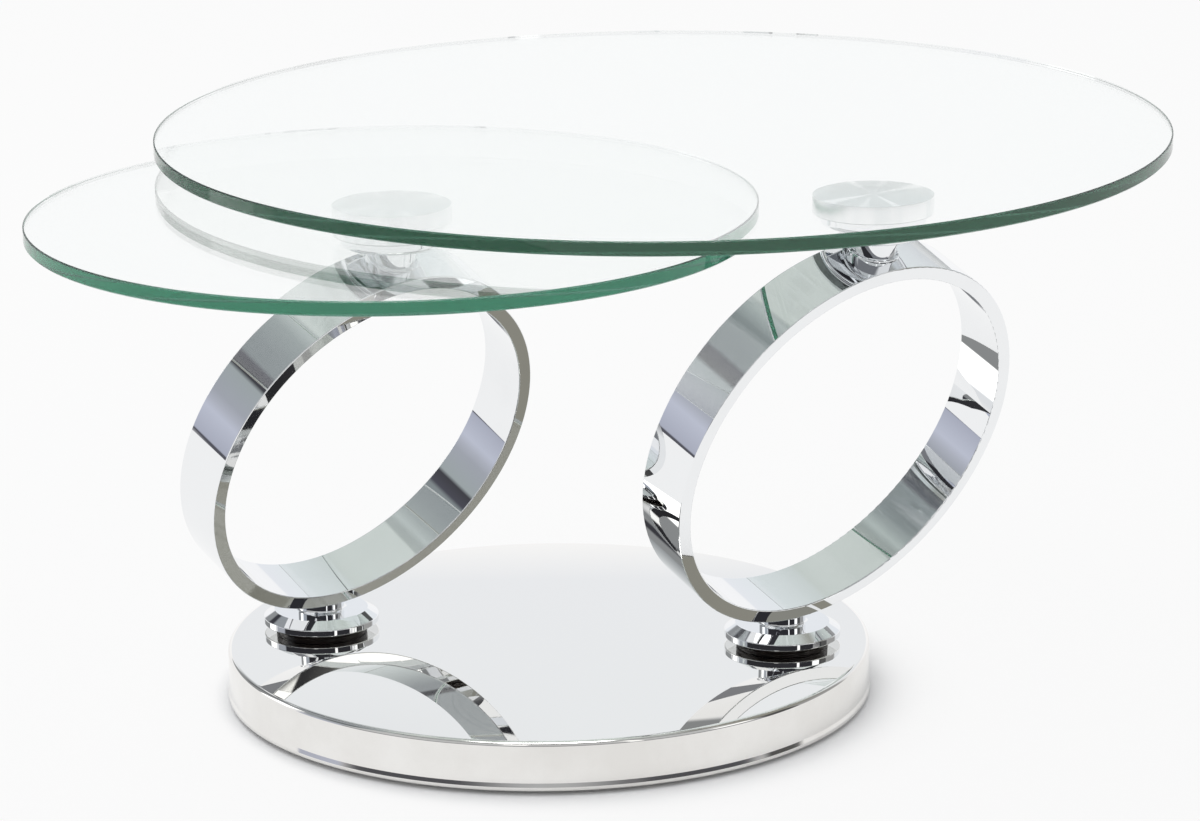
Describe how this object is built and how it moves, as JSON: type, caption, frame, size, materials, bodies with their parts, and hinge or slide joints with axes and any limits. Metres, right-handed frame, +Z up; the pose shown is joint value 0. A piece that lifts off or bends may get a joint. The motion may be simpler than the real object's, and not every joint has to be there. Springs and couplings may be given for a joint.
{
  "type": "swivel coffee table",
  "caption": "Coffee table with round glass tops at different heights, each swivelling on a leaning chrome ring hoop that turns on a round polished base.",
  "frame": {"origin": "on the floor under the middle of the round base", "axes": "+Z up, +X from the low hoop's pivot to the high hoop's pivot, +Y away from the side where the lower top stands out"},
  "size_m": [0.8533, 0.8956, 0.4143],
  "materials": {
    "polished_stainless": "mirror-polished stainless sheet",
    "core_board": "plain fibreboard",
    "ballast_steel": "rolled steel plate",
    "black_plate": "black powder coat",
    "zinc_steel": "bright zinc plate",
    "black_plastic": "moulded",
    "bush_nylon": "turned nylon",
    "dark_bearing": "dark brown satin",
    "polished_chrome": "polished chrome plate",
    "slide_nylon": "thin grey nylon",
    "turned_aluminium": "turned and clear anodised",
    "clear_glass": "clear tempered glass with flat polished edges"
  },
  "bodies": {
    "base": {"base_cover": "polished_stainless", "base_core": "core_board", "ballast_plate": "ballast_steel", "under_plate": "black_plate", "under_plate_screws": "zinc_steel", "glides": "black_plastic", "low_pivot_bush": "bush_nylon", "low_bearing_ring": "dark_bearing", "high_pivot_bush": "bush_nylon", "high_bearing_ring": "dark_bearing"},
    "low_hoop_set": {"low_foot": "polished_chrome", "low_pivot_bolt": "zinc_steel", "low_thrust_washer": "zinc_steel", "low_lock_nut": "zinc_steel", "low_hoop": "polished_chrome", "low_hub": "polished_chrome", "low_hub_spindle": "zinc_steel", "low_slide_washer": "slide_nylon"},
    "high_hoop_set": {"high_foot": "polished_chrome", "high_pivot_bolt": "zinc_steel", "high_thrust_washer": "zinc_steel", "high_lock_nut": "zinc_steel", "high_hoop": "polished_chrome", "high_hub": "polished_chrome", "high_hub_spindle": "zinc_steel", "high_slide_washer": "slide_nylon"},
    "lower_top": {"lower_glass": "clear_glass", "lower_pad": "turned_aluminium", "lower_pad_liner": "bush_nylon"},
    "upper_top": {"upper_glass": "clear_glass", "upper_pad": "turned_aluminium", "upper_pad_liner": "bush_nylon"}
  },
  "joints": [
    {"name": "low_hoop_swivel", "type": "hinge", "parent": "base", "child": "low_hoop_set", "pos_m": [-0.1815, 0.009, 0.0455], "axis": [0, 0, 1], "continuous": true},
    {"name": "high_hoop_swivel", "type": "hinge", "parent": "base", "child": "high_hoop_set", "pos_m": [0.1815, 0.009, 0.0455], "axis": [0, 0, 1], "range_deg": [-12, 100]},
    {"name": "lower_top_swivel", "type": "hinge", "parent": "low_hoop_set", "child": "lower_top", "pos_m": [-0.10556, -0.06059, 0.36611], "axis": [0, 0, 1], "continuous": true},
    {"name": "upper_top_swivel", "type": "hinge", "parent": "high_hoop_set", "child": "upper_top", "pos_m": [0.25559, -0.06255, 0.38976], "axis": [0, 0, 1], "continuous": true}
  ]
}
